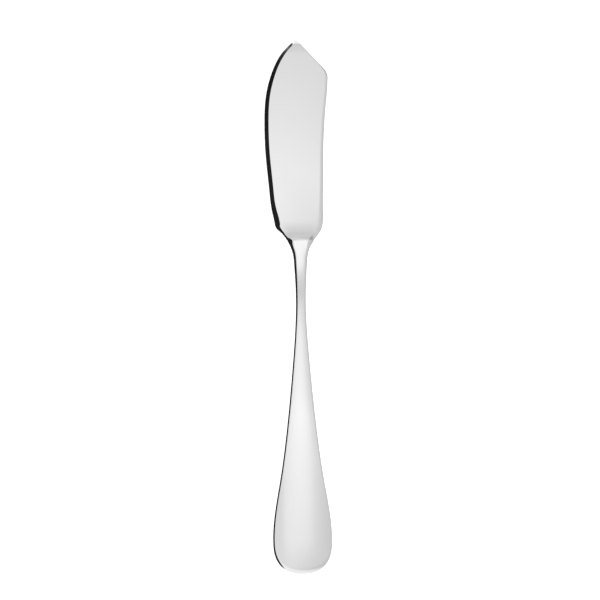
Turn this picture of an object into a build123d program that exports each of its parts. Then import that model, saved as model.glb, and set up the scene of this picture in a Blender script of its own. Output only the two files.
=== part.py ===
from build123d import *
import os

# Fish knife with a hollow handle, lying flat with its tip towards +Y.
# Lengths are in millimetres. While the pieces are drawn, X is measured from the handle's middle line,
# Y from the butt end and Z from the table. At the end they are all moved together, so that the
# origin is the middle of the underside of the whole knife's box.

# Lengths along the knife
HANDLE_LENGTH = 121.4        # butt end to the mouth of the handle shells
BOLSTER_LENGTH = 6.9         # mouth of the shells to the ridge
BLADE_LENGTH = 76.7          # ridge to the tip
RAMP_LENGTH = 13.2           # ridge to where the face of the blade is flat

# Plan of the handle
MOUTH_WIDTH = 5.1
NECK_WIDTH = 3.9
NECK_FROM_MOUTH = 14.6       # mouth to the narrowest place
GRIP_WIDTHS = [5.95, 10.45, 16.7]    # at a quarter, half and three quarters of the way, neck to widest
BUTT_WIDTH = 22.7
BUTT_LENGTH = 12.6           # widest place to the butt end
BUTT_FULLNESS = 2.3          # 2 is an ellipse, more is squarer

# Side view of the handle
MOUTH_HEIGHT = 1.7           # seam above the table at the mouth
MOUTH_THICKNESS = 3.0
CREST_HEIGHT = 3.4           # seam above the table where the handle arches highest
CREST_FROM_BUTT = 60.0
VALLEY_FROM_MOUTH = 2.9      # mouth to where the front of the neck is lowest
DIP_LENGTH = 12.0            # of the short steep part of the slope down to there
DIP_FROM_VALLEY = 9.5        # its middle
DIP_SHARE = 0.2              # its share of the whole fall
GRIP_THICKNESS = 4.0         # from the crest to the widest place
BUTT_THICKNESS = 3.2
BUTT_LIFT = 0.15             # underside of the butt end above the table that the blade lies on
CREST_EASING = 0.3           # share of the fall to the butt over which it leaves the level
CROWN_RADIUS = 75.0          # of the gently domed front and back
HANDLE_ROUNDING = 0.8        # along the edges of the handle
SHELL_WALL = 0.7

# Solder, tang and cement inside
SOLDER_GAP = 0.1
TANG_LENGTH = 70.0
TANG_THICKNESS = 1.3
TANG_CLEARANCE = 0.1         # each side of the tang at the narrowest place
NOTCH_RADIUS = 0.4
NOTCH_COUNT = 3
NOTCH_PITCH = 6.0
CEMENT_LENGTH = 86.0         # from the mouth

# Blade
BLADE_THICKNESS = 1.8
BEVEL_WIDTH = 1.4
EDGE_THICKNESS = 0.7         # left standing under the bevel
SHOULDER_BEVEL = 0.5         # the bevel at the tip and round the shoulder
BACK_EASING = 0.4            # taken off the top of the back
TIP_OFFSET = 1.55            # tip to the left of the middle line
TIP_ROUNDING = 1.5
POINT_BEYOND_TIP = 0.51      # where the belly and the slanted end would meet, past the rounded tip
CORNER_WIDTH = 11.0          # corner of the back to the right of the middle line, before it is rounded
CORNER_FROM_TIP = 12.3       # along the knife
CORNER_ROUNDING = 7.5
RIDGE_WIDTH = 5.4
RIDGE_HEIGHT = 3.5
RIDGE_FOOT_WIDTH = 9.4       # of the ridge's sloping flanks where they meet the blade
SHOULDER_WIDTH = 9.9         # of the outline at the ridge
FLARE_WIDTH = 5.8            # of the outline a third of the way from the mouth to the ridge
RAMP_START_WIDTH = 12.0
RAMP_HOLLOWNESS = 6          # power of the ramp's rise: 1 is straight, more is steeper at the ridge
RIDGE_ROUNDING = 0.35
UNDERCUT_LENGTH = 9.0        # over which the underside rises to the neck, from the mouth

# Belly and back of the blade: distance from the ridge, distance from the middle line
BELLY = [(3.1, 7.5), (5.6, 9.5), (10.8, 10.65), (20.0, 11.8), (33.0, 13.05), (45.0, 13.44),
         (56.0, 12.7), (64.6, 10.45), (71.6, 7.0)]
BACK = [(3.1, 7.2), (5.6, 8.3), (10.8, 8.78), (20.0, 8.86), (33.0, 9.0), (43.1, 9.44), (52.3, 10.1)]

# Sizes that follow from these
RIDGE_FROM_BUTT = HANDLE_LENGTH + BOLSTER_LENGTH
TIP_FROM_BUTT = RIDGE_FROM_BUTT + BLADE_LENGTH
NECK_FROM_BUTT = HANDLE_LENGTH - NECK_FROM_MOUTH
VALLEY_FROM_BUTT = HANDLE_LENGTH - VALLEY_FROM_MOUTH
TANG_WIDTH = NECK_WIDTH - 2 * (SHELL_WALL + TANG_CLEARANCE)
MOUTH_BOTTOM = MOUTH_HEIGHT - MOUTH_THICKNESS / 2
MOUTH_TOP = MOUTH_HEIGHT + MOUTH_THICKNESS / 2
MARGIN = 3.0                 # by which cutting solids stand past what they cut


def smooth_step(share):
    """Goes from 0 to 1 with level ends, and stays level outside them."""
    share = min(max(share, 0.0), 1.0)
    return share * share * (3 - 2 * share)


def neck_fall(y):
    """How far the handle has come down at a place from the crest towards the mouth, from 0 to 1."""
    share = min((y - CREST_FROM_BUTT) / (VALLEY_FROM_BUTT - CREST_FROM_BUTT), 1.0)
    slope = 2 * share ** 2 - share ** 4
    dip = smooth_step((y - VALLEY_FROM_BUTT + DIP_FROM_VALLEY) / DIP_LENGTH + 0.5)
    return (1 - DIP_SHARE) * slope + DIP_SHARE * dip


def butt_fall(y):
    """The same from the crest to the butt end: level at the start and then nearly straight."""
    share = 1 - y / CREST_FROM_BUTT
    return share ** 2 / (share + CREST_EASING) * (1 + CREST_EASING)


def seam_height(y):
    """Height of the seam between the two shells."""
    if y > CREST_FROM_BUTT:
        return CREST_HEIGHT + (MOUTH_HEIGHT - CREST_HEIGHT) * neck_fall(y)
    butt_height = BUTT_THICKNESS / 2 + BUTT_LIFT
    return CREST_HEIGHT + (butt_height - CREST_HEIGHT) * butt_fall(y)


def half_thickness(y):
    """Half the thickness of the handle on its middle line."""
    if y > CREST_FROM_BUTT:
        return (GRIP_THICKNESS + (MOUTH_THICKNESS - GRIP_THICKNESS) * neck_fall(y)) / 2
    if y > BUTT_LENGTH:
        return GRIP_THICKNESS / 2
    share = 1 - y / BUTT_LENGTH
    return (GRIP_THICKNESS - (GRIP_THICKNESS - BUTT_THICKNESS) * share ** 2) / 2


def stations(start, end, count):
    """Evenly spaced places along the knife."""
    return [start + (end - start) * i / (count - 1) for i in range(count)]


PLACES = stations(-MARGIN, HANDLE_LENGTH + MARGIN, 27)   # where the side view of the handle is worked out


def mirrored(points):
    """Points of the left side from those of the right, in the opposite order."""
    return [(-x, y) for x, y in reversed(points)]


# Handle

def handle_plan(inset):
    """Plan of the handle, drawn in by an inset all round except at the mouth."""
    half_width = BUTT_WIDTH / 2 - inset
    depth = BUTT_LENGTH - inset
    grip = stations(NECK_FROM_BUTT, BUTT_LENGTH, len(GRIP_WIDTHS) + 2)[1:-1]
    right = [(MOUTH_WIDTH / 2 - inset, HANDLE_LENGTH), (NECK_WIDTH / 2 - inset, NECK_FROM_BUTT)]
    right += [(width / 2 - inset, y) for width, y in zip(GRIP_WIDTHS, grip)]
    for across in (1.0, 0.93, 0.76, 0.5):
        along = (1 - across ** BUTT_FULLNESS) ** (1 / BUTT_FULLNESS)
        right.append((half_width * across, BUTT_LENGTH - depth * along))
    side = Spline(right + [(0, inset)] + mirrored(right))
    return make_face([side, Line(side @ 1, side @ 0)])


def crown(inset, side):
    """Everything below the domed front of the handle (side 1) or above its domed back (side -1)."""
    reach = BUTT_WIDTH / 2 + MARGIN
    sag = CROWN_RADIUS - (CROWN_RADIUS ** 2 - reach ** 2) ** 0.5
    far = -side * (CREST_HEIGHT + GRIP_THICKNESS) * 2
    sections = []
    for y in PLACES:
        seam = seam_height(y)
        middle = seam + side * (half_thickness(y) - inset)
        shoulder = middle - side * sag
        dome = ThreePointArc((-reach, shoulder), (0, middle), (reach, shoulder))
        walls = Polyline((reach, shoulder), (reach, seam + far), (-reach, seam + far), (-reach, shoulder))
        sections.append(Plane((0, y, 0), x_dir=(1, 0, 0), z_dir=(0, -1, 0)) * make_face([dome, walls]))
    return loft(sections)


def handle_body(inset):
    """The handle as one solid, drawn in by an inset."""
    prism = Pos(0, 0, -MARGIN) * extrude(handle_plan(inset), CREST_HEIGHT + GRIP_THICKNESS + MARGIN)
    return prism & crown(inset, 1) & crown(inset, -1)


def seam_line(lift):
    """The seam in the side view, raised by a lift."""
    return Spline([(y, seam_height(y) + lift) for y in PLACES])


def side_slab(low, high):
    """What lies between two lines of the side view, right across the knife."""
    face = make_face([low, Line(low @ 1, high @ 1), high, Line(high @ 0, low @ 0)])
    return extrude(Plane.YZ * face, BUTT_WIDTH, both=True)


def level_line(z):
    """A level line of the side view, as long as the seam line."""
    return Line((-MARGIN, z), (HANDLE_LENGTH + MARGIN, z))


def cross_slab(start, end):
    """Everything between two places along the knife."""
    length = end - start
    size = 4 * BUTT_WIDTH
    return Pos(0, start + length / 2, 0) * Box(size, length, size)


def handle_pieces():
    """Front shell, back shell, the solder of the seam and of the mouth, and the hollow."""
    hollow = handle_body(SHELL_WALL)
    wall = handle_body(0) - hollow
    wall = fillet([e for e in wall.edges() if on_rim(e)], HANDLE_ROUNDING)
    mouth = wall & cross_slab(HANDLE_LENGTH - SOLDER_GAP, HANDLE_LENGTH + MARGIN)
    shells = wall - cross_slab(HANDLE_LENGTH - SOLDER_GAP, HANDLE_LENGTH + MARGIN)
    lower_face = seam_line(-SOLDER_GAP / 2)
    upper_face = seam_line(SOLDER_GAP / 2)
    top = 2 * (CREST_HEIGHT + GRIP_THICKNESS)
    front = shells & side_slab(upper_face, level_line(top))
    back = shells & side_slab(level_line(-top), lower_face)
    seam = shells & side_slab(lower_face, upper_face)
    return front, back, seam, mouth, hollow


def on_rim(edge):
    """True for the two edges that run round the outside of the front and of the back."""
    return edge.bounding_box().size.X > BUTT_WIDTH - SHELL_WALL


# Blade

def inward(points, distances, side):
    """Points of an outline moved square to it, to the right (side 1) or left (side -1) of its direction."""
    moved = []
    for i, (point, distance) in enumerate(zip(points, distances)):
        before = Vector(points[max(i - 1, 0)])
        after = Vector(points[min(i + 1, len(points) - 1)])
        along = (after - before).normalized()
        moved.append((point[0] + side * along.Y * distance, point[1] - side * along.X * distance))
    return moved


def blade_plan(bevel, shoulder_bevel, back_easing):
    """Plan of the blade from the mouth of the handle to the tip, drawn in at the belly and the back."""
    flare = [(MOUTH_WIDTH / 2, HANDLE_LENGTH), (FLARE_WIDTH / 2, HANDLE_LENGTH + BOLSTER_LENGTH / 3),
             (SHOULDER_WIDTH / 2, RIDGE_FROM_BUTT)]
    tip = Vector(-TIP_OFFSET, TIP_FROM_BUTT + POINT_BEYOND_TIP)
    corner = Vector(CORNER_WIDTH, TIP_FROM_BUTT - CORNER_FROM_TIP)
    slant = (corner - tip).normalized()
    tip += slant * shoulder_bevel
    corner -= slant * (back_easing / slant.X)
    belly = [(-x, y) for x, y in flare] + [(-x, RIDGE_FROM_BUTT + y) for y, x in BELLY]
    back = flare + [(x, RIDGE_FROM_BUTT + y) for y, x in BACK]
    narrow = [shoulder_bevel] * (len(flare) + 1)
    belly = inward(belly, narrow + [bevel] * (len(BELLY) - 1), 1) + [(tip.X, tip.Y)]
    back = inward(back, [back_easing] * len(back), -1) + [(corner.X, corner.Y)]
    left = Spline(belly)
    right = Spline(back)
    face = make_face([left, Line(left @ 1, right @ 1), right, Line(right @ 0, left @ 0)])
    face = fillet(face.vertices().sort_by_distance(corner)[0], CORNER_ROUNDING - back_easing)
    return fillet(face.vertices().sort_by_distance(tip)[0], TIP_ROUNDING - shoulder_bevel)


def ridge_section(y, width, foot_width, top, bottom, rounding):
    """Cross-section of the raised part between blade and handle."""
    shape = Polyline((-foot_width / 2, bottom), (foot_width / 2, bottom), (width / 2, top),
                     (-width / 2, top), (-foot_width / 2, bottom))
    face = fillet(make_face(shape).vertices(), rounding)
    return Plane((0, y, 0), x_dir=(1, 0, 0), z_dir=(0, -1, 0)) * face


def ramp():
    """The hollow slope from the face of the blade up to the ridge."""
    foot = BLADE_THICKNESS / 2
    sections = []
    for share in (0.0, 0.4, 0.65, 0.8, 0.9, 1.0):
        y = RIDGE_FROM_BUTT + RAMP_LENGTH * (1 - share)
        top = BLADE_THICKNESS + (RIDGE_HEIGHT - BLADE_THICKNESS) * share ** RAMP_HOLLOWNESS
        width = RAMP_START_WIDTH + (RIDGE_WIDTH - RAMP_START_WIDTH) * share
        flank = (RIDGE_FOOT_WIDTH - RIDGE_WIDTH) * (top - foot) / (RIDGE_HEIGHT - foot)
        sections.append(ridge_section(y, width, width + flank, top, foot, RIDGE_ROUNDING))
    return loft(sections)


def bolster():
    """The neck from the ridge back to the mouth of the handle."""
    foot = BLADE_THICKNESS / 2
    flare_top = MOUTH_TOP + (RIDGE_HEIGHT - MOUTH_TOP) / 3
    at_ridge = ridge_section(RIDGE_FROM_BUTT, RIDGE_WIDTH, RIDGE_FOOT_WIDTH, RIDGE_HEIGHT, foot, RIDGE_ROUNDING)
    at_flare = ridge_section(HANDLE_LENGTH + BOLSTER_LENGTH / 3, MOUTH_WIDTH, FLARE_WIDTH, flare_top,
                             (foot + MOUTH_BOTTOM) / 2, HANDLE_ROUNDING)
    at_mouth = ridge_section(HANDLE_LENGTH, MOUTH_WIDTH, MOUTH_WIDTH, MOUTH_TOP, MOUTH_BOTTOM, HANDLE_ROUNDING)
    return loft([at_ridge, at_flare, at_mouth])


def undercut():
    """What is taken off below, where the underside rises to the neck."""
    start = HANDLE_LENGTH + UNDERCUT_LENGTH
    face = make_face(Polyline((start, 0), (HANDLE_LENGTH, MOUTH_BOTTOM), (HANDLE_LENGTH - MARGIN, MOUTH_BOTTOM),
                              (HANDLE_LENGTH - MARGIN, -MARGIN), (start, -MARGIN), (start, 0)))
    return extrude(Plane.YZ * face, BUTT_WIDTH, both=True)


def tang():
    """The tongue of the blade inside the handle, following its arch, with notches that key the cement."""
    end = HANDLE_LENGTH - TANG_LENGTH
    length = TANG_LENGTH + BOLSTER_LENGTH / 2
    strip = Pos(0, end + length / 2, 0) * Rectangle(TANG_WIDTH, length)
    for i in range(NOTCH_COUNT):
        for side in (-1, 1):
            strip -= Pos(side * TANG_WIDTH / 2, end + NOTCH_PITCH * (i + 1), 0) * Circle(NOTCH_RADIUS)
    low = seam_line(-TANG_THICKNESS / 2)
    high = seam_line(TANG_THICKNESS / 2)
    return extrude(strip, CREST_HEIGHT + GRIP_THICKNESS) & side_slab(low, high)


def plate():
    """The flat of the blade: a thin edge all round, then the bevel of the belly and the eased back."""
    foot = extrude(blade_plan(0, 0, 0), EDGE_THICKNESS)
    low = Pos(0, 0, EDGE_THICKNESS) * blade_plan(0, 0, 0)
    high = Pos(0, 0, BLADE_THICKNESS) * blade_plan(BEVEL_WIDTH, SHOULDER_BEVEL, BACK_EASING)
    return foot + loft([low, high], ruled=True)


def blade_piece():
    """Plate, ramp, bolster and tang in one forging."""
    return plate() + ramp() + bolster() - undercut() + tang()


# The finished pieces

front, back, seam, mouth, hollow = handle_pieces()
blade = blade_piece()
cement = (hollow & cross_slab(HANDLE_LENGTH - CEMENT_LENGTH, HANDLE_LENGTH)) - tang()

pieces = {
    "blade": blade,
    "handle_front_shell": front,
    "handle_back_shell": back,
    "seam_solder": seam,
    "mouth_solder": mouth,
    "tang_cement": cement,
}

box = Compound(children=[Part() + piece for piece in pieces.values()]).bounding_box()
to_frame = Pos(-box.center().X, -box.center().Y, -box.min.Z)

os.makedirs("parts", exist_ok=True)
for name, piece in pieces.items():
    export_step(to_frame * piece, f"parts/{name}.step")
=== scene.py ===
import math

import bpy
import numpy as np
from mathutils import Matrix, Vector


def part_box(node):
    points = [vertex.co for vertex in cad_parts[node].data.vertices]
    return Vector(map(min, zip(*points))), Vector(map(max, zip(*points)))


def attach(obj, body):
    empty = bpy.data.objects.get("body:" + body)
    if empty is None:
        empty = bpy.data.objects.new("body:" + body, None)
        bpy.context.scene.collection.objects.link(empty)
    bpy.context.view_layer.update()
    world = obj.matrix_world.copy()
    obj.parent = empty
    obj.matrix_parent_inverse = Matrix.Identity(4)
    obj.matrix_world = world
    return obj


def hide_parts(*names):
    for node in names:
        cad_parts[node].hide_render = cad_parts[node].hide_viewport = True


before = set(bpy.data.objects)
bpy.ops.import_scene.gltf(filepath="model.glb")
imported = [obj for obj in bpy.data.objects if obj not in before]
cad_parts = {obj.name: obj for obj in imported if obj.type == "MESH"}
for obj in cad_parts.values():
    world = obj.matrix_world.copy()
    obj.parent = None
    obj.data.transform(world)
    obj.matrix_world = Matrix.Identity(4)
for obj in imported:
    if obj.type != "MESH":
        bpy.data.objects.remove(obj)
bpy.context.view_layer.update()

# Sizes in millimetres. X is measured from the handle's middle line, Y from the butt end, Z from the table.
HANDLE_LENGTH = 121.4
BOLSTER_LENGTH = 6.9
BLADE_LENGTH = 76.7
RIDGE_Y = HANDLE_LENGTH + BOLSTER_LENGTH
TIP_Y = RIDGE_Y + BLADE_LENGTH

# Plan of the handle. The grip's widths are spaced evenly between the neck and the butt. The butt's curve
# has a power, its fullness, and is laid out at shares of half its width.
MOUTH_WIDTH = 5.45
NECK_WIDTH = 3.9
NECK_Y = HANDLE_LENGTH - 14.6
GRIP_WIDTHS = [6.1, 10.6, 16.9]
BUTT_WIDTH = 22.7
BUTT_LENGTH = 12.6
BUTT_FULLNESS = 2.4
BUTT_POINTS = [1.0, 0.93, 0.76, 0.5]

# Side view of the handle
MOUTH_HEIGHT = 1.7
MOUTH_THICKNESS = 3.0
MOUTH_TOP = MOUTH_HEIGHT + MOUTH_THICKNESS / 2
MOUTH_BOTTOM = MOUTH_HEIGHT - MOUTH_THICKNESS / 2
CREST_HEIGHT = 3.4
CREST_Y = 60.0
VALLEY_Y = HANDLE_LENGTH - 2.9
GRIP_THICKNESS = 4.0
BUTT_THICKNESS = 3.2
BUTT_LIFT = 0.15
BUTT_FRONT_FULLNESS = 0.25
CREST_EASING = 0.3
CROWN_SLOPE = 0.105
BUTT_CROWN_SLOPE = 0.12
BUTT_CROWN_Y = (45.0, 15.0)
SHELL_WALL = 0.7
SOLDER_GAP = 0.1

# How steeply the front of the neck comes down, at distances from the butt
NECK_SLOPES = [(CREST_Y, 0.0), (70.0, 0.026), (90.0, 0.027), (101.0, 0.042), (104.5, 0.054),
               (108.5, 0.1), (113.0, 0.062), (VALLEY_Y, 0.006), (HANDLE_LENGTH - 1.4, 0.0)]

# Tang
TANG_LENGTH = 70.0
TANG_WIDTH = 2.3
TANG_THICKNESS = 1.3
NOTCH_RADIUS = 0.4
NOTCH_COUNT = 3
NOTCH_PITCH = 6.0

# Blade
BLADE_THICKNESS = 1.8
BLADE_CROWN_RADIUS = 700.0
BLADE_CROWN_START = 13.0
TIP_OFFSET = 1.2
TIP_ROUNDING = 1.5
FACET_LENGTH = 1.7
FACET_SLOPE = 0.72
POINT_BEYOND_TIP = 0.44
TIP_DROOP_LENGTH = 5.2
TIP_DROOP_RADIUS = 70.0
CORNER_WIDTH = 11.0
CORNER_FROM_TIP = 12.55
CORNER_ROUNDING = 5.0
RIDGE_HEIGHT = 3.4
TAIL_HALF_WIDTH = 10.0
SHOULDER_WIDTH = 10.7
FLARE_WIDTH = 6.4
UNDERCUT_LENGTH = 9.0

# The ramp up to the ridge adds up from a tail, a slope and a step: height, length, power of its curve
RAMP_STEPS = [(0.355, 26.0, 2), (0.45, 8.0, 3), (0.795, 3.0, 2)]

# Belly and back of the blade: distance from the ridge, distance from the middle line
BELLY = [(3.0, 7.72), (4.5, 9.3), (7.1, 10.05), (10.8, 10.86), (20.0, 12.0), (33.0, 13.22),
         (45.0, 13.58), (56.0, 12.85), (64.6, 10.5), (71.6, 6.82)]
BACK = [(3.5, 7.8), (5.2, 8.43), (10.8, 8.78), (20.0, 8.86), (33.0, 9.0), (43.1, 9.44),
        (52.3, 10.17), (57.0, 10.65)]

# Flanks where the ramp and the ridge slope down to the sides: distance from the ridge, then the
# distance of the flank's middle from the middle line, or the flank's width
LEFT_FLANK_PLACE = [(-BOLSTER_LENGTH, 3.4), (0.0, 4.2), (8.0, 9.0)]
LEFT_FLANK_WIDTH = [(0.0, 3.0), (2.5, 5.5)]
RIGHT_FLANK_PLACE = [(-BOLSTER_LENGTH, 3.4), (-1.0, 4.1), (1.0, 4.9), (8.0, 7.0)]
RIGHT_FLANK_WIDTH = [(-1.0, 3.0), (1.0, 2.4), (5.0, 4.0)]

# Slope of a rounded edge at the outline. The belly is a flat bevel from a little past the ridge.
LEFT_STEEPNESS = 1.0
RIGHT_STEEPNESS = 1.8
UNDERSIDE_STEEPNESS = 1.0
BEVEL_START = 1.0

# Edges of the handle: distance from the butt, then the width or the drop of the edge
MOUTH_EDGE_WIDTH = 1.15
MOUTH_EDGE_DROP = 0.68
HANDLE_EDGE_WIDTH = [(0.0, 2.4), (4.0, 1.5), (9.0, 0.95), (BUTT_LENGTH, 0.85), (30.0, 0.7),
                     (95.0, 0.7), (NECK_Y, 0.85), (HANDLE_LENGTH, MOUTH_EDGE_WIDTH)]
HANDLE_EDGE_DROP = [(0.0, 1.0), (4.0, 0.72), (9.0, 0.5), (BUTT_LENGTH, 0.45), (30.0, 0.4),
                    (95.0, 0.4), (NECK_Y, 0.5), (HANDLE_LENGTH, MOUTH_EDGE_DROP)]

# Edges of the blade: distance ahead of the ridge, or back from the tip in the tables named so, then the
# width or the drop of the edge
BELLY_EDGE_WIDTH = [(-BOLSTER_LENGTH, MOUTH_EDGE_WIDTH), (-4.0, 1.3), (-2.0, 1.35), (0.0, 0.95),
                    (1.5, 0.68), (3.0, 1.0), (4.2, 1.6), (5.5, 2.05), (7.5, 2.05), (9.5, 1.95),
                    (15.0, 1.7)]
BELLY_EDGE_WIDTH_AT_TIP = [(16.0, 1.6), (6.0, 1.35), (2.0, 1.0), (0.9, 0.75), (0.2, 0.35)]
BELLY_EDGE_DROP = [(-BOLSTER_LENGTH, MOUTH_EDGE_DROP), (-4.0, 0.8), (-2.0, 0.85), (0.0, 0.72),
                   (1.5, 0.6), (4.0, 1.0), (6.0, 1.2), (9.5, 1.3)]
BELLY_EDGE_DROP_AT_TIP = [(16.0, 1.15), (2.0, 0.75), (0.9, 0.55), (0.2, 0.3)]
BACK_EDGE_WIDTH = [(-BOLSTER_LENGTH, MOUTH_EDGE_WIDTH), (-3.0, 1.3), (0.0, 0.8), (1.5, 1.1),
                   (4.0, 2.8), (7.0, 2.5), (10.0, 1.9), (15.0, 1.5), (25.0, 1.35)]
BACK_EDGE_WIDTH_AT_TIP = [(14.0, 1.15), (9.0, 0.4), (0.0, 0.35)]
BACK_EDGE_DROP = [(-BOLSTER_LENGTH, MOUTH_EDGE_DROP), (-3.0, 0.75), (0.0, 0.55), (4.0, 0.65),
                  (25.0, 0.5)]
BACK_EDGE_DROP_AT_TIP = [(14.0, 0.45), (9.0, 0.3), (0.0, 0.3)]
UNDERSIDE_EDGE_WIDTH = [(-BOLSTER_LENGTH, 0.8), (0.0, 0.3), (5.0, 0.2)]
UNDERSIDE_EDGE_WIDTH_AT_TIP = [(0.0, 0.2)]
UNDERSIDE_EDGE_SLOPE = 0.5

# How finely the pieces are divided: rows along a piece, columns across it, steps across its edge.
# The bolster and the ramp take up some of the blade's rows. In the last share of a piece, from where the
# bulge starts, the rows bend more and more to the shape of its end.
ROWS = 300
COLUMNS = 64
EDGE_STEPS = 9
BOLSTER_ROWS = 31
RAMP_ROWS = 90
RAMP_LENGTH = 22.0
BULGE_START = 0.75

# How finely curves are divided, and how many points back from its end a curve's direction is read
CURVE_POINTS = 4001
ARC_POINTS = 61
SLANT_POINTS = 300
BEFORE_CORNER = 150
BEFORE_TIP = 80

# Where an edge begins, the slope of the face is read over a small step. The edge takes over no more than
# a limited share of the slope and the width that it has room for. The least slope avoids division by 0.
SLOPE_STEP = 0.02
EDGE_LIMIT = 0.95
LEAST_SLOPE = 1e-6

# Angles in degrees from which a crease between faces stays sharp
SHARP_ANGLE = 30
BLADE_SHARP_ANGLE = 24

# The step from these coordinates to the frame's
MM_PER_METRE = 1000
low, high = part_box("handle_front_shell")
TO_FRAME = np.array([(low.x + high.x) / 2 * MM_PER_METRE, low.y * MM_PER_METRE, 0.0])


# Curves

def lengths(points):
    """Distance of each point from the first, along the line through them."""
    return np.concatenate([[0], np.cumsum(np.linalg.norm(np.diff(points, axis=0), axis=1))])


def smooth_curve(points):
    """A natural cubic spline through the points, as many closely spaced points."""
    knots = np.array(points, float)
    places = lengths(knots)
    gaps = np.diff(places)
    count = len(knots)
    system = np.eye(count)
    right = np.zeros((count, 2))
    for i in range(1, count - 1):
        before, after = gaps[i - 1], gaps[i]
        system[i, i - 1:i + 2] = before, 2 * (before + after), after
        right[i] = 6 * ((knots[i + 1] - knots[i]) / after - (knots[i] - knots[i - 1]) / before)
    bend = np.linalg.solve(system, right)
    at = np.linspace(0, places[-1], CURVE_POINTS)
    k = np.clip(np.searchsorted(places, at, side="right") - 1, 0, count - 2)
    a = ((places[k + 1] - at) / gaps[k])[:, None]
    b = ((at - places[k]) / gaps[k])[:, None]
    size = (gaps[k] ** 2 / 6)[:, None]
    bending = (a ** 3 - a) * bend[k] + (b ** 3 - b) * bend[k + 1]
    return a * knots[k] + b * knots[k + 1] + bending * size


def along(curve, shares):
    """Points at shares of the length of a curve."""
    s = lengths(curve)
    at = np.asarray(shares) * s[-1]
    return np.stack([np.interp(at, s, curve[:, 0]), np.interp(at, s, curve[:, 1])], 1)


def rounding(corner, first, second, radius):
    """An arc that rounds a corner, from the two directions away from it.

    Also returns how far from the corner the arc starts."""
    half_angle = math.acos(float(first @ second)) / 2
    reach = radius / math.tan(half_angle)
    middle = (first + second) / np.linalg.norm(first + second)
    centre = corner + middle * radius / math.sin(half_angle)
    start = corner + first * reach - centre
    arc = []
    for t in np.linspace(0, math.pi - 2 * half_angle, ARC_POINTS):
        c, s = math.cos(t), math.sin(t)
        arc.append(centre + np.array([c * start[0] - s * start[1], s * start[0] + c * start[1]]))
    return np.array(arc), reach


def unit(vector):
    """A vector's direction, with the length 1."""
    return vector / np.linalg.norm(vector)


def smooth_step(share):
    """Goes from 0 to 1 with level ends, and stays level outside them."""
    share = np.clip(share, 0.0, 1.0)
    return share * share * (3 - 2 * share)


def between(y, table):
    """Reads a size at places along the knife from (place, size) pairs."""
    places, sizes = zip(*table)
    return np.interp(y, places, sizes)


def along_blade(y, from_ridge, from_tip):
    """Reads a size from pairs that are placed ahead of the ridge and pairs placed back from the tip."""
    table = [(RIDGE_Y + distance, size) for distance, size in from_ridge]
    table += [(TIP_Y - distance, size) for distance, size in from_tip]
    return between(y, table)


# Shape of the handle

def neck_fall(y):
    """How far the handle has come down at a place from the crest towards the mouth, from 0 to 1."""
    places = np.linspace(NECK_SLOPES[0][0], NECK_SLOPES[-1][0], CURVE_POINTS)
    fall = np.cumsum(between(places, NECK_SLOPES))
    return np.interp(y, places, fall / fall[-1])


def seam_height(y):
    """Height of the seam between the two shells."""
    share = np.clip(1 - y / CREST_Y, 0, None)
    butt_fall = share ** 2 / (share + CREST_EASING) * (1 + CREST_EASING)
    butt_height = BUTT_THICKNESS / 2 + BUTT_LIFT
    to_butt = (butt_height - CREST_HEIGHT) * butt_fall
    to_mouth = (MOUTH_HEIGHT - CREST_HEIGHT) * neck_fall(y)
    return CREST_HEIGHT + to_butt + to_mouth


def half_thickness(y):
    """Half the thickness of the handle on its middle line."""
    thinning = np.clip(1 - y / BUTT_LENGTH, 0, None) ** 2
    butt = (BUTT_THICKNESS - GRIP_THICKNESS) * thinning
    neck = (MOUTH_THICKNESS - GRIP_THICKNESS) * neck_fall(y)
    return (GRIP_THICKNESS + butt + neck) / 2


def half_width(y):
    """Half the width of the handle. In the butt it stays as it is where the butt begins."""
    return np.interp(y, HANDLE_SIDE[:, 1], HANDLE_SIDE[:, 0])


def crown_sag(x, y):
    """How far the domed face has come down beside the middle line.

    Towards the butt its sides get rounder."""
    start, full = BUTT_CROWN_Y
    side_slope = BUTT_CROWN_SLOPE * smooth_step((start - y) / (start - full))
    share = x / half_width(y)
    return half_width(y) * (CROWN_SLOPE * share ** 2 / 2 + side_slope * share ** 4 / 4)


def rise_to_ridge(y):
    """The front of the neck rises again from its lowest place to the ridge."""
    share = np.clip((y - VALLEY_Y) / (RIDGE_Y - VALLEY_Y), 0, None)
    return (RIDGE_HEIGHT - MOUTH_TOP) * share ** 2


def handle_front(x, y):
    """Height of the front of the handle."""
    butt = BUTT_FRONT_FULLNESS * np.clip(1 - y / BUTT_LENGTH, 0, None) ** 2
    return seam_height(y) + half_thickness(y) + butt + rise_to_ridge(y) - crown_sag(x, y)


def handle_back(x, y):
    """Height of the back of the handle."""
    return seam_height(y) - half_thickness(y) + crown_sag(x, y)


def handle_outline():
    """Left side, butt and right side of the handle's plan."""
    left = [(-MOUTH_WIDTH / 2, HANDLE_LENGTH), (-NECK_WIDTH / 2, NECK_Y)]
    for i, width in enumerate(GRIP_WIDTHS):
        share = (i + 1) / (len(GRIP_WIDTHS) + 1)
        left.append((-width / 2, NECK_Y + (BUTT_LENGTH - NECK_Y) * share))
    for across in BUTT_POINTS:
        depth = (1 - across ** BUTT_FULLNESS) ** (1 / BUTT_FULLNESS)
        left.append((-BUTT_WIDTH / 2 * across, BUTT_LENGTH * (1 - depth)))
    right = [(-x, y) for x, y in reversed(left)]
    curve = smooth_curve(left + [(0, 0)] + right)
    turn = int(np.argmin(np.linalg.norm(curve - np.array(left[-2]), axis=1)))
    return curve[:turn + 1], curve[turn:len(curve) - turn], curve[len(curve) - turn - 1:][::-1]


HANDLE_SIDE = handle_outline()[2][::-1]
HANDLE_SIDE = HANDLE_SIDE[HANDLE_SIDE[:, 1] > BUTT_LENGTH]


# Shape of the blade

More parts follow.
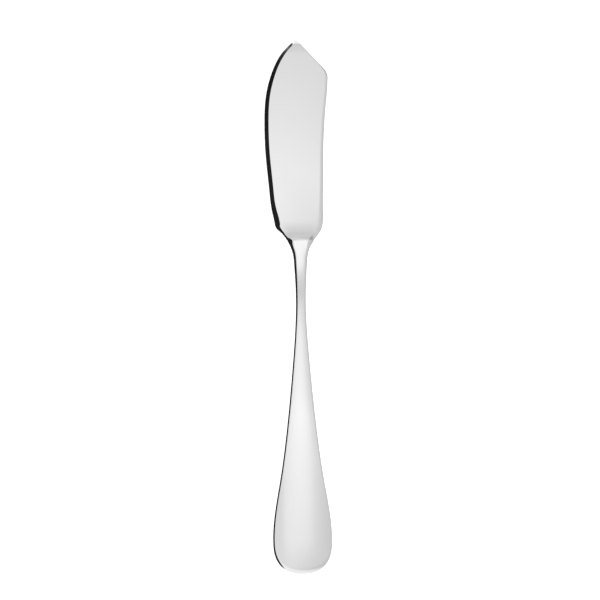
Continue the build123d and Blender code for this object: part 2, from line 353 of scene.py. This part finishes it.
def blade_outline():
    """Right side, slanted end and left side of the blade's plan.

    The end runs to the middle of the rounded tip."""
    flare = [(MOUTH_WIDTH / 2, HANDLE_LENGTH), (FLARE_WIDTH / 2, HANDLE_LENGTH + BOLSTER_LENGTH / 3),
             (SHOULDER_WIDTH / 2, RIDGE_Y)]
    back = [(x, RIDGE_Y + y) for y, x in BACK]
    belly = [(-x, RIDGE_Y + y) for y, x in BELLY]
    point = np.array([-TIP_OFFSET, TIP_Y + POINT_BEYOND_TIP])
    corner = np.array([CORNER_WIDTH, TIP_Y - CORNER_FROM_TIP])
    right = smooth_curve(flare + back + [tuple(corner)])
    left = smooth_curve([(-x, y) for x, y in flare] + belly + [tuple(point)])
    slant = unit(point - corner)
    corner_arc, reach = rounding(corner, unit(right[-BEFORE_CORNER] - corner), slant, CORNER_ROUNDING)
    right = np.vstack([right[np.linalg.norm(right - corner, axis=1) > reach], corner_arc])
    tip_arc, reach = rounding(point, -slant, unit(left[-BEFORE_TIP] - point), TIP_ROUNDING)
    half = len(tip_arc) // 2
    straight = np.linspace(corner_arc[-1], tip_arc[0], SLANT_POINTS)
    end = np.vstack([straight[:-1], tip_arc[:half + 1]])
    left = np.vstack([left[np.linalg.norm(left - point, axis=1) > reach], tip_arc[half:][::-1]])
    return right, end, left


def flank_share(x, from_ridge):
    """How much of the ridge's height is left beside it: 1 in the middle, 0 past the flanks."""
    on_right = x > 0
    middle = np.where(on_right, between(from_ridge, RIGHT_FLANK_PLACE),
                      between(from_ridge, LEFT_FLANK_PLACE))
    width = np.where(on_right, between(from_ridge, RIGHT_FLANK_WIDTH),
                     between(from_ridge, LEFT_FLANK_WIDTH))
    return 1 - smooth_step((np.abs(x) - middle) / width + 0.5)


def blade_front(x, y):
    """Height of the front of the blade, its ramp, its ridge and the bolster behind it."""
    back = np.clip((RIDGE_Y - y) / BOLSTER_LENGTH, 0, 1)
    ahead = np.clip(y - RIDGE_Y, 0, None)
    rises = []
    for rise, length, power in RAMP_STEPS:
        rises.append(rise * np.clip(1 - ahead / length, 0, 1) ** power)
    tail, slope, step = rises
    crown = x ** 2 / (2 * BLADE_CROWN_RADIUS) * smooth_step(ahead / BLADE_CROWN_START)
    droop = np.clip(y - TIP_Y + TIP_DROOP_LENGTH, 0, None) ** 2 / (2 * TIP_DROOP_RADIUS)
    flat = BLADE_THICKNESS - crown - droop + tail * (1 - (x / TAIL_HALF_WIDTH) ** 2)
    foot = flat + (MOUTH_TOP - flat) * smooth_step(back)
    top = np.where(y > RIDGE_Y, flat + slope + step, MOUTH_TOP + rise_to_ridge(y))
    return foot + (top - foot) * flank_share(x, y - RIDGE_Y) - crown_sag(x, y) * smooth_step(back)


def blade_underside(x, y):
    """Height of the underside, which is flat and then rises to the neck."""
    rise = np.clip((HANDLE_LENGTH + UNDERCUT_LENGTH - y) / UNDERCUT_LENGTH, 0, 1)
    return (MOUTH_BOTTOM + crown_sag(x, y)) * rise


# Meshes

class Mesh:
    """Points and faces of one piece while it is being made."""

    def __init__(self):
        self.points = []
        self.faces = []
        self.count = 0

    def add(self, xy, z):
        """Adds points and returns their numbers."""
        block = np.concatenate([xy, np.broadcast_to(z, xy.shape[:-1])[..., None]], -1).reshape(-1, 3)
        numbers = np.arange(self.count, self.count + len(block)).reshape(xy.shape[:-1])
        self.points.append(block)
        self.count += len(block)
        return numbers

    def quads(self, grid, flip=False):
        """Faces between neighbouring rows and columns of numbers."""
        a, b, c, d = grid[:-1, :-1], grid[1:, :-1], grid[1:, 1:], grid[:-1, 1:]
        order = (a, d, c, b) if flip else (a, b, c, d)
        self.faces += np.stack(order, -1).reshape(-1, 4).tolist()

    def tube(self, lines, capped=True):
        """Faces all round a tube, between lines of numbers that run along it, and its two end caps."""
        self.quads(np.stack(lines + lines[:1]))
        if capped:
            self.faces.append([int(line[0]) for line in lines[::-1]])
            self.faces.append([int(line[-1]) for line in lines])

    def build(self, name, material, sharp_angle):
        """The finished object, in the frame's place and in metres."""
        points = (np.concatenate(self.points) + TO_FRAME) / MM_PER_METRE
        mesh = bpy.data.meshes.new(name)
        mesh.from_pydata(points.tolist(), [], self.faces)
        mesh.shade_smooth()
        mesh.set_sharp_from_angle(angle=math.radians(sharp_angle))
        faces_at = np.bincount([corner.edge_index for corner in mesh.loops])
        for edge in mesh.edges:
            if faces_at[edge.index] == 1:
                edge.use_edge_sharp = True
        mesh.materials.append(material)
        piece = bpy.data.objects.new(name, mesh)
        bpy.context.scene.collection.objects.link(piece)
        return piece


def outline_points(first, end, last, first_shares, last_shares):
    """An outline, anticlockwise, as one row of points.

    It goes out along one side, across the end and back along the other side."""
    out = along(first, first_shares)
    across = along(end, np.linspace(0, 1, COLUMNS + 1))
    back = along(last, last_shares)
    return np.vstack([out, across[1:-1], back[::-1]])


def steps_inward(rim, widths):
    """For each point of an outline, the step square to it by the width.

    At the mouth it goes straight across."""
    direction = np.gradient(rim, axis=0)
    direction[0] = direction[-1] = [0, np.sign(rim[1, 1] - rim[0, 1])]
    direction[-1] *= -1
    direction /= np.linalg.norm(direction, axis=1)[:, None]
    return np.stack([-direction[:, 1], direction[:, 0]], 1) * widths[:, None]


def face_of_piece(mesh, rim, height, widths, drops, steepness, side):
    """Front (side 1) or back (side -1) of a piece with its edge.

    The edge is as wide as widths and falls by drops. It leaves the face smoothly and reaches the slope
    steepness at the outline, or is a flat bevel where steepness is 0. Returns the numbers of the face's
    first row and of the rings across the edge, from the face to the outline."""
    inward = steps_inward(rim, widths)
    inner = rim + inward
    first, end, last = inner[:ROWS], inner[ROWS - 1:ROWS + COLUMNS], inner[ROWS + COLUMNS - 1:][::-1]
    v = np.linspace(0, 1, COLUMNS + 1)[:, None]
    bulge = end - ((1 - v) * end[0] + v * end[-1])
    u = smooth_step((np.linspace(0, 1, ROWS) - BULGE_START) / (1 - BULGE_START)) ** 2
    grid = (1 - v)[None] * first[:, None] + v[None] * last[:, None] + u[:, None, None] * bulge[None]
    numbers = mesh.add(grid, height(grid[..., 0], grid[..., 1]))
    mesh.quads(numbers, flip=side < 0)

    z_inner = height(inner[:, 0], inner[:, 1])
    ahead = inner - SLOPE_STEP * inward / widths[:, None]
    slope = side * (z_inner - height(ahead[:, 0], ahead[:, 1])) / SLOPE_STEP
    slope = np.clip(slope, 0, EDGE_LIMIT * drops / widths)
    meeting = (drops - slope * widths) / np.maximum(steepness - slope, LEAST_SLOPE)
    meeting = np.clip(meeting, 0, EDGE_LIMIT * widths)
    control_x = np.where(steepness > 0, meeting, widths / 2)
    control_z = np.where(steepness > 0, steepness * meeting - drops, -drops / 2)
    rings = [np.concatenate([numbers[:, 0], numbers[-1, 1:-1], numbers[::-1, -1]])]
    for t in np.linspace(0, 1, EDGE_STEPS + 1)[1:]:
        inset = (1 - t) ** 2 * widths + 2 * t * (1 - t) * control_x
        fall = 2 * t * (1 - t) * control_z - t * t * drops
        rings.append(mesh.add(rim + inward * (inset / widths)[:, None], z_inner + side * fall))
    mesh.quads(np.stack(rings), flip=side < 0)
    return numbers[0], rings


# Handle

def handle_rim():
    """The handle's outline as one row of points. It ends where the solder at the mouth begins."""
    shares = np.linspace(0, 1, ROWS)
    rim = outline_points(*handle_outline(), shares, shares)
    rim[0, 1] = rim[-1, 1] = HANDLE_LENGTH - SOLDER_GAP
    return rim


def shell(name, material, side, height):
    """One handle shell: its domed face, the rounded edge, and the wall down to the seam."""
    rim = handle_rim()
    y = rim[:, 1]
    widths = between(y, HANDLE_EDGE_WIDTH)
    drops = between(y, HANDLE_EDGE_DROP)
    to_right = smooth_step((rim[:, 0] / half_width(y) + 1) / 2)
    steepness = LEFT_STEEPNESS + (RIGHT_STEEPNESS - LEFT_STEEPNESS) * to_right
    mesh = Mesh()
    _, rings = face_of_piece(mesh, rim, height, widths, drops, steepness, side)
    foot = mesh.add(rim, seam_height(y) + side * SOLDER_GAP / 2)
    mesh.quads(np.stack([rings[-1], foot]), flip=side < 0)
    piece = mesh.build(name, material, SHARP_ANGLE)
    wall = piece.modifiers.new("wall", "SOLIDIFY")
    wall.thickness = SHELL_WALL / MM_PER_METRE
    wall.offset = -1
    return piece


def solder_seam(name, material):
    """The thin film of solder between the walls of the two shells."""
    rim = handle_rim()
    inner = rim + steps_inward(rim, np.full(len(rim), SHELL_WALL))
    mesh = Mesh()
    lines = []
    for edge, up in ((rim, 0.5), (rim, -0.5), (inner, -0.5), (inner, 0.5)):
        lines.append(mesh.add(edge, seam_height(rim[:, 1]) + up * SOLDER_GAP))
    mesh.tube(lines)
    return mesh.build(name, material, SHARP_ANGLE)


def solder_ring(name, material, loop):
    """The thin ring of solder between the bolster and the mouths of the shells, flush with them."""
    mesh = Mesh()
    middle = np.array([0, HANDLE_LENGTH, MOUTH_HEIGHT])
    hole = middle + (loop - middle) * (1 - 2 * SHELL_WALL / MOUTH_THICKNESS)
    lines = []
    for ring, y in ((loop, 0), (loop, SOLDER_GAP), (hole, SOLDER_GAP), (hole, 0)):
        numbers = mesh.add(ring[:, :2] - [0, y], ring[:, 2])
        lines.append(np.append(numbers, numbers[0]))
    mesh.tube(lines, capped=False)
    return mesh.build(name, material, SHARP_ANGLE)


# Blade

def blade_rim():
    """The blade's outline as one row of points, with level rows in the bolster and the ramp."""
    right, end, left = blade_outline()
    bolster = np.linspace(HANDLE_LENGTH, RIDGE_Y, BOLSTER_ROWS)
    ramp_rows = np.linspace(RIDGE_Y, RIDGE_Y + RAMP_LENGTH, RAMP_ROWS)
    level_rows = np.concatenate([bolster, ramp_rows[1:]])
    upper = np.linspace(0, 1, ROWS - len(level_rows) + 1)[1:]

    def shares(curve):
        s = lengths(curve)
        lower = np.interp(level_rows, curve[:, 1], s / s[-1])
        return np.concatenate([lower, lower[-1] + (1 - lower[-1]) * upper])

    return outline_points(right, end, left, shares(right), shares(left))


def cut_facet(mesh):
    """Cuts the small facet at the tip by lowering what stands above it."""
    for block in mesh.points:
        facet = BLADE_THICKNESS - FACET_SLOPE * (block[:, 1] - TIP_Y + FACET_LENGTH)
        block[:, 2] = np.minimum(block[:, 2], facet)


def loop_at_mouth(front_row, front_rings, back_row, back_rings):
    """Numbers of the points all round the mouth, along the underside and back along the front."""
    loop = [ring[0] for ring in back_rings[::-1]]
    loop += list(back_row[1:])
    loop += [ring[-1] for ring in back_rings[1:]]
    loop += [ring[-1] for ring in front_rings[::-1]]
    loop += list(front_row[-2::-1])
    loop += [ring[0] for ring in front_rings[1:]]
    return loop


def blade(name, material):
    """Blade, bolster and tang in one. Also returns the points round the mouth."""
    rim = blade_rim()
    y = rim[:, 1]
    on_left = np.arange(len(rim)) >= ROWS + COLUMNS - 1
    widths = np.where(on_left, along_blade(y, BELLY_EDGE_WIDTH, BELLY_EDGE_WIDTH_AT_TIP),
                      along_blade(y, BACK_EDGE_WIDTH, BACK_EDGE_WIDTH_AT_TIP))
    drops = np.where(on_left, along_blade(y, BELLY_EDGE_DROP, BELLY_EDGE_DROP_AT_TIP),
                     along_blade(y, BACK_EDGE_DROP, BACK_EDGE_DROP_AT_TIP))
    left_steepness = np.where(y > RIDGE_Y + BEVEL_START, 0.0, LEFT_STEEPNESS)
    steepness = np.where(on_left, left_steepness, RIGHT_STEEPNESS)
    mesh = Mesh()
    front_row, front_rings = face_of_piece(mesh, rim, blade_front, widths, drops, steepness, 1)
    cut_facet(mesh)
    widths = along_blade(y, UNDERSIDE_EDGE_WIDTH, UNDERSIDE_EDGE_WIDTH_AT_TIP)
    drops = UNDERSIDE_EDGE_SLOPE * widths
    steepness = np.full(len(rim), UNDERSIDE_STEEPNESS)
    back_row, back_rings = face_of_piece(mesh, rim, blade_underside, widths, drops, steepness, -1)
    mesh.quads(np.stack([front_rings[-1], back_rings[-1]]))
    loop = loop_at_mouth(front_row, front_rings, back_row, back_rings)
    mesh.faces.append([int(number) for number in loop[::-1]])
    mouth_points = np.concatenate(mesh.points)[loop]
    tang(mesh)
    return mesh.build(name, material, BLADE_SHARP_ANGLE), mouth_points


def tang(mesh):
    """The square-cut tongue inside the handle.

    It follows the handle's arch and has notches that key the cement."""
    end = HANDLE_LENGTH - TANG_LENGTH
    y = np.linspace(HANDLE_LENGTH + BOLSTER_LENGTH / 2, end, ROWS)
    half = np.full(ROWS, TANG_WIDTH / 2)
    for i in range(NOTCH_COUNT):
        from_notch = y - end - NOTCH_PITCH * (i + 1)
        half -= np.sqrt(np.clip(NOTCH_RADIUS ** 2 - from_notch ** 2, 0, None))
    lines = []
    for across, up in ((1, 1), (1, -1), (-1, -1), (-1, 1)):
        z = seam_height(y) + up * TANG_THICKNESS / 2
        lines.append(mesh.add(np.stack([across * half, y], 1), z))
    mesh.tube(lines)


# Materials

STEEL_SHINE = 0.83
STEEL_COLOUR = (STEEL_SHINE, STEEL_SHINE, STEEL_SHINE)
STEEL_ROUGHNESS = 0.09
SOLDER_COLOUR = (0.82, 0.82, 0.815)
SOLDER_ROUGHNESS = 0.1
CLOUD_SCALE = 60.0
CLOUD_DETAIL = 4.0
CLOUD_START = 0.3
CLOUD_END = 0.7
CLOUD_SHADE = 0.985
POLISH_SPREAD = 0.2
CEMENT_DARK = (0.30, 0.27, 0.23)
CEMENT_PALE = (0.50, 0.46, 0.40)
CEMENT_ROUGHNESS = 0.9
SAND_SCALE = 900.0
SAND_DETAIL = 2.0


def new_material(name):
    """A material, its node tree and its shader."""
    material = bpy.data.materials.new(name)
    material.use_nodes = True
    return material, material.node_tree, material.node_tree.nodes["Principled BSDF"]


def noise(tree, scale, detail):
    """Noise that is fixed to the piece."""
    place = tree.nodes.new("ShaderNodeTexCoord")
    node = tree.nodes.new("ShaderNodeTexNoise")
    node.inputs["Scale"].default_value = scale
    node.inputs["Detail"].default_value = detail
    tree.links.new(place.outputs["Object"], node.inputs["Vector"])
    return node.outputs["Fac"]


def tint(tree, value, dark, pale, start, end):
    """A colour that goes from dark to pale as the value goes from start to end."""
    node = tree.nodes.new("ShaderNodeValToRGB")
    first, last = node.color_ramp.elements
    first.position = start
    first.color = (*dark, 1)
    last.position = end
    last.color = (*pale, 1)
    tree.links.new(value, node.inputs["Fac"])
    return node.outputs["Color"]


def polished_steel(name, colour, roughness):
    """Mirror-polished metal with faint cloudy variation in colour and polish."""
    material, tree, shader = new_material(name)
    shader.inputs["Metallic"].default_value = 1.0
    cloud = noise(tree, CLOUD_SCALE, CLOUD_DETAIL)
    shade = [channel * CLOUD_SHADE for channel in colour]
    tree.links.new(tint(tree, cloud, shade, colour, CLOUD_START, CLOUD_END), shader.inputs["Base Color"])
    polish = tree.nodes.new("ShaderNodeMapRange")
    polish.inputs["To Min"].default_value = roughness * (1 - POLISH_SPREAD)
    polish.inputs["To Max"].default_value = roughness * (1 + POLISH_SPREAD)
    tree.links.new(cloud, polish.inputs["Value"])
    tree.links.new(polish.outputs["Result"], shader.inputs["Roughness"])
    return material


def cast_cement(name):
    """Grey-brown cast cement with sand in it."""
    material, tree, shader = new_material(name)
    shader.inputs["Roughness"].default_value = CEMENT_ROUGHNESS
    sand = noise(tree, SAND_SCALE, SAND_DETAIL)
    tree.links.new(tint(tree, sand, CEMENT_DARK, CEMENT_PALE, 0.0, 1.0), shader.inputs["Base Color"])
    return material


blade_steel = polished_steel("blade_steel", STEEL_COLOUR, STEEL_ROUGHNESS)
handle_steel = polished_steel("handle_steel", STEEL_COLOUR, STEEL_ROUGHNESS)
solder = polished_steel("solder", SOLDER_COLOUR, SOLDER_ROUGHNESS)
cement = cast_cement("cement")

# Pieces

front = shell("handle_front", handle_steel, 1, handle_front)
back = shell("handle_back", handle_steel, -1, handle_back)
knife_blade, mouth_points = blade("knife_blade", blade_steel)
mouth_ring = solder_ring("mouth_ring", solder, mouth_points)
seam_film = solder_seam("seam_film", solder)

PIECES = [
    (front, "handle_front_shell", "handle_steel"),
    (back, "handle_back_shell", "handle_steel"),
    (knife_blade, "blade", "blade_steel"),
    (mouth_ring, "mouth_solder", "solder"),
    (seam_film, "seam_solder", "solder"),
]
for piece, node, slot in PIECES:
    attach(piece, "root")
    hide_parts(node)

tang_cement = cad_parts["tang_cement"]
tang_cement.data.materials.clear()
tang_cement.data.materials.append(cement)

# Floor, in metres

FLOOR_REACH = 3
FLOOR_COLOUR = (0.8, 0.8, 0.8, 1)
FLOOR_ROUGHNESS = 0.8
FLOOR_GLOW = 0.75

floor_mesh = bpy.data.meshes.new("floor")
floor_corners = [(x * FLOOR_REACH, y * FLOOR_REACH, 0) for x, y in ((-1, -1), (1, -1), (1, 1), (-1, 1))]
floor_mesh.from_pydata(floor_corners, [], [(0, 1, 2, 3)])
floor = bpy.data.objects.new("floor", floor_mesh)
bpy.context.scene.collection.objects.link(floor)
white, _, paint = new_material("white_floor")
paint.inputs["Base Color"].default_value = FLOOR_COLOUR
paint.inputs["Roughness"].default_value = FLOOR_ROUGHNESS
paint.inputs["Emission Color"].default_value = (1, 1, 1, 1)
paint.inputs["Emission Strength"].default_value = FLOOR_GLOW
floor_mesh.materials.append(white)

# Light: a soft white tent with cards that dim or brighten it in some directions

# The tent is brightest nearly overhead, a little to the left and towards the butt. Its light falls off
# with the distance from there, which counts for more along the knife than across it. Each level is the
# grey from 0 to 255 that a mirror of this steel shows at that distance.
TENT_STRENGTH = 1.5
TENT_STRETCH = (1.0, 1.3, 0.0)
TENT_SHIFT = (0.052, 0.08, 0.0)
TENT_LEVELS = [(0.0, 251), (0.05, 250), (0.087, 247), (0.122, 243), (0.157, 237), (0.19, 227), (0.21, 221),
               (0.245, 215), (0.30, 210), (0.36, 206), (0.45, 202), (0.7, 199), (1.0, 198)]

# The cards at the tip and the butt are brighter than the tent, but a colour ramp stops at 1. So these
# two dim all the other light to a share, and the world's strength makes up for it.
TIP_SHARE = 0.45
BUTT_SHARE = 0.66
TIP_RISE = [(0.0, 1.0), (0.68, 1.0), (0.9, 1.07), (0.935, 1.19), (0.95, 1.25), (0.98, 1 / TIP_SHARE)]

# Cards: azimuth in degrees from +X, then brightness by how nearly a direction points there. There is a
# dark card on the left, a shade right of the tip and one on the right, a bright card left of the butt, a
# small shade left of the tip and a bright card beyond the tip.
LEFT_CARD = (184, [(0.0, 1.0), (0.785, 1.0), (0.825, 0.06), (0.88, 0.018), (1.0, 0.018)])
TIP_RIGHT_SHADE = (48, [(0.0, 1.0), (0.79, 1.0), (0.88, 0.62), (0.95, 0.48), (1.0, 0.46)])
RIGHT_SHADE = (-12, [(0.0, 1.0), (0.93, 1.0), (0.985, 0.75), (1.0, 0.72)])
BUTT_CARD = (-120, [(0.0, BUTT_SHARE), (0.515, BUTT_SHARE), (0.55, 0.635), (0.59, 0.61), (0.62, 0.65),
                    (0.66, 0.72), (0.74, 0.92), (0.84, 1.0)])
TIP_LEFT_SHADE = (125, [(0.0, 1.0), (0.96, 1.0), (0.985, 0.25), (1.0, 0.25)])
TIP_CARD = (95, [(share, TIP_SHARE * rise) for share, rise in TIP_RISE])

world = bpy.data.worlds.new("studio")
bpy.context.scene.world = world
world.use_nodes = True
nodes, links = world.node_tree.nodes, world.node_tree.links
look = nodes.new("ShaderNodeTexCoord")


def linear(level):
    """Light needed for a grey level from 0 to 255 in the picture, by the sRGB curve."""
    return ((level / 255 + 0.055) / 1.055) ** 2.4


def ramp(value, stops):
    """A brightness read off a value through (value, brightness) stops."""
    node = nodes.new("ShaderNodeValToRGB")
    while len(node.color_ramp.elements) < len(stops):
        node.color_ramp.elements.new(0.5)
    for element, (place, bright) in zip(node.color_ramp.elements, stops):
        element.position = place
        element.color = (bright, bright, bright, 1)
    links.new(value, node.inputs["Fac"])
    return node.outputs["Color"]


def multiply(a, b):
    """One brightness times another."""
    node = nodes.new("ShaderNodeVectorMath")
    node.operation = "MULTIPLY"
    links.new(a, node.inputs[0])
    links.new(b, node.inputs[1])
    return node.outputs["Vector"]


def toward(azimuth):
    """From 0, away from a direction on the horizon, to 1, straight at it."""
    dot = nodes.new("ShaderNodeVectorMath")
    dot.operation = "DOT_PRODUCT"
    angle = math.radians(azimuth)
    dot.inputs[1].default_value = (math.cos(angle), math.sin(angle), 0)
    links.new(look.outputs["Generated"], dot.inputs[0])
    share = nodes.new("ShaderNodeMapRange")
    share.inputs["From Min"].default_value = -1
    links.new(dot.outputs["Value"], share.inputs["Value"])
    return share.outputs["Result"]


def tent():
    """The tent's light, by distance from its brightest place."""
    place = nodes.new("ShaderNodeMapping")
    place.inputs["Scale"].default_value = TENT_STRETCH
    place.inputs["Location"].default_value = TENT_SHIFT
    links.new(look.outputs["Generated"], place.inputs["Vector"])
    distance = nodes.new("ShaderNodeVectorMath")
    distance.operation = "LENGTH"
    links.new(place.outputs["Vector"], distance.inputs[0])
    stops = [(far, linear(level) / STEEL_SHINE / TENT_STRENGTH) for far, level in TENT_LEVELS]
    return ramp(distance.outputs["Value"], stops)


light = tent()
for azimuth, stops in (LEFT_CARD, TIP_RIGHT_SHADE, RIGHT_SHADE, BUTT_CARD, TIP_LEFT_SHADE, TIP_CARD):
    light = multiply(light, ramp(toward(azimuth), stops))
background = nodes["Background"]
links.new(light, background.inputs["Color"])
background.inputs["Strength"].default_value = TENT_STRENGTH / BUTT_SHARE / TIP_SHARE

# Camera straight above, as in the photo: place and film in millimetres, turn in degrees, height in metres

MM_PER_PIXEL = 0.3847
PICTURE_PIXELS = 600
CAMERA_X = -0.38
CAMERA_Y = 105.2
CAMERA_TURN = -0.42
CAMERA_HEIGHT = 0.9
FILM_WIDTH = 36.0

picture_width = PICTURE_PIXELS * MM_PER_PIXEL / MM_PER_METRE
camera_data = bpy.data.cameras.new("camera")
camera_data.sensor_width = FILM_WIDTH
camera_data.lens = FILM_WIDTH * CAMERA_HEIGHT / picture_width
camera = bpy.data.objects.new("camera", camera_data)
camera_x = (TO_FRAME[0] + CAMERA_X) / MM_PER_METRE
camera_y = (TO_FRAME[1] + CAMERA_Y) / MM_PER_METRE
camera.location = (camera_x, camera_y, CAMERA_HEIGHT)
camera.rotation_euler = (0, 0, math.radians(CAMERA_TURN))
bpy.context.scene.collection.objects.link(camera)
bpy.context.scene.camera = camera
bpy.context.scene.view_settings.view_transform = "Standard"
